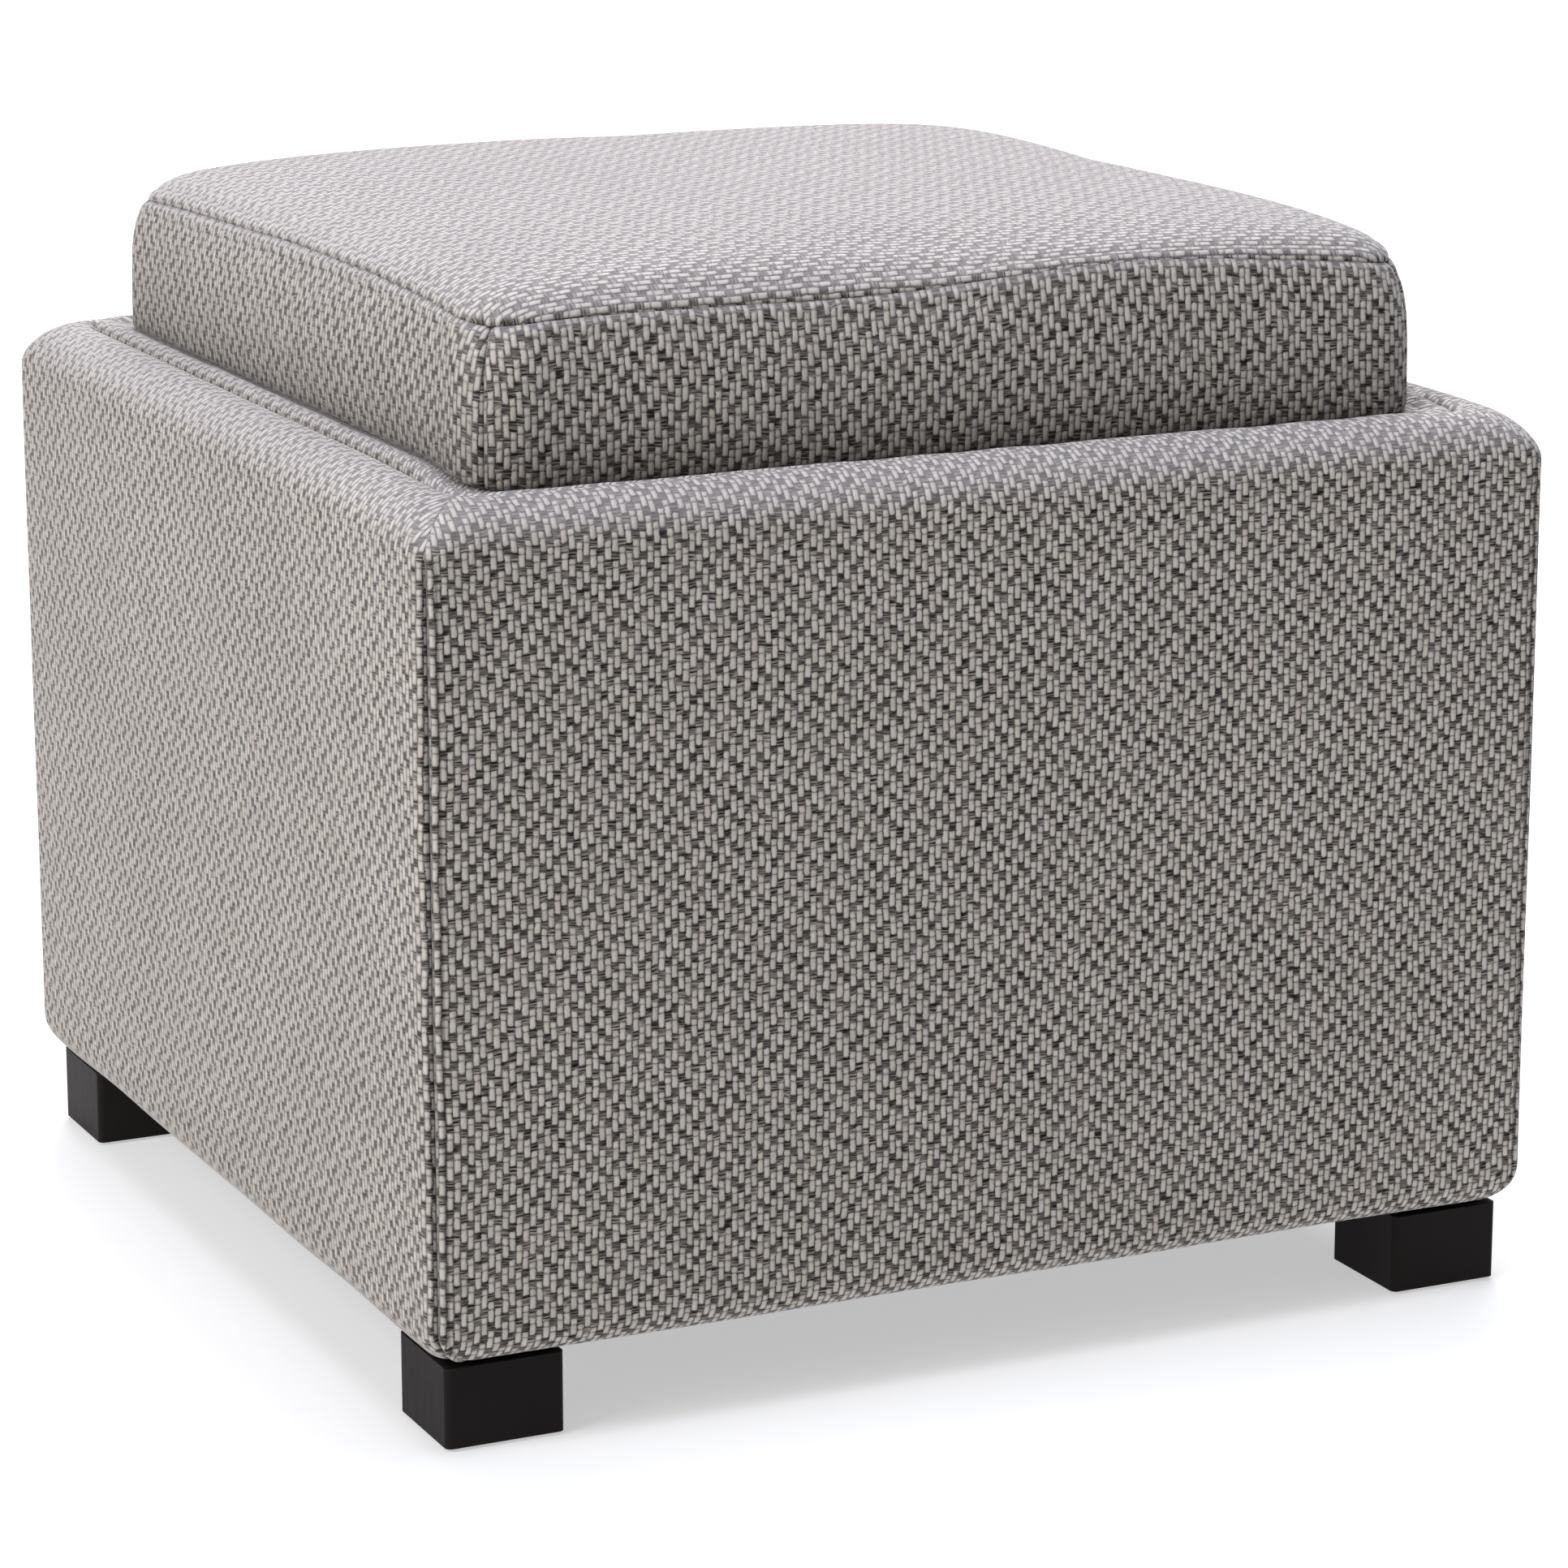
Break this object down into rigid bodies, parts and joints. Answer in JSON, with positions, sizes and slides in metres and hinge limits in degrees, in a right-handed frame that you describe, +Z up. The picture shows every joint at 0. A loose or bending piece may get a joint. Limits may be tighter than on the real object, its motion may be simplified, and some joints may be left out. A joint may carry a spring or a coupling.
{
  "type": "storage ottoman",
  "caption": "Square fabric-covered storage ottoman on low block feet, with a padded rim and a lift-off cushioned lid that has a tray on its underside.",
  "frame": {"origin": "on the floor, under the middle of the square box", "axes": "+Z up, -Y towards the front of the ottoman, +X to its right as seen from the front"},
  "size_m": [0.457, 0.457, 0.43],
  "materials": {
    "upholstery": "chunky broken-twill weave, light greige warp over charcoal weft, matt",
    "foam": "open-cell foam, matt",
    "plywood": "unfinished birch plywood",
    "lining": "plain woven polyester lining, matt",
    "dust_cloth": "spun-bonded cloth, matt",
    "foot_finish": "near-black satin lacquer",
    "tray_wood": "dark stained veneer, satin lacquer",
    "zinc_steel": "zinc plated",
    "nylon": "moulded nylon"
  },
  "bodies": {
    "box": {"front_panel": "plywood", "back_panel": "plywood", "left_panel": "plywood", "right_panel": "plywood", "bottom_board": "plywood", "corner_blocks": "plywood", "panel_screws": "zinc_steel", "front_foam": "foam", "back_foam": "foam", "left_foam": "foam", "right_foam": "foam", "front_cover": "upholstery", "back_cover": "upholstery", "left_cover": "upholstery", "right_cover": "upholstery", "wall_lining": "lining", "floor_lining": "lining", "front_cleat": "plywood", "back_cleat": "plywood", "left_cleat": "plywood", "right_cleat": "plywood", "cleat_screws": "zinc_steel", "dust_cover": "dust_cloth", "dust_cover_staples": "zinc_steel", "front_left_foot": "foot_finish", "front_right_foot": "foot_finish", "back_left_foot": "foot_finish", "back_right_foot": "foot_finish", "foot_bolts": "zinc_steel", "tee_nuts": "zinc_steel", "foot_glides": "nylon"},
    "lid": {"lid_board": "plywood", "lid_edge_band": "upholstery", "seat_foam": "foam", "seat_top_cover": "upholstery", "front_boxing": "upholstery", "back_boxing": "upholstery", "left_boxing": "upholstery", "right_boxing": "upholstery", "tray_panel": "tray_wood", "front_tray_rail": "tray_wood", "back_tray_rail": "tray_wood", "left_tray_rail": "tray_wood", "right_tray_rail": "tray_wood", "tray_screws": "zinc_steel"}
  },
  "joints": [
    {"name": "lid_lift", "type": "slide", "parent": "box", "child": "lid", "axis": [0, 0, 1], "range_m": [0, 0.28]}
  ]
}
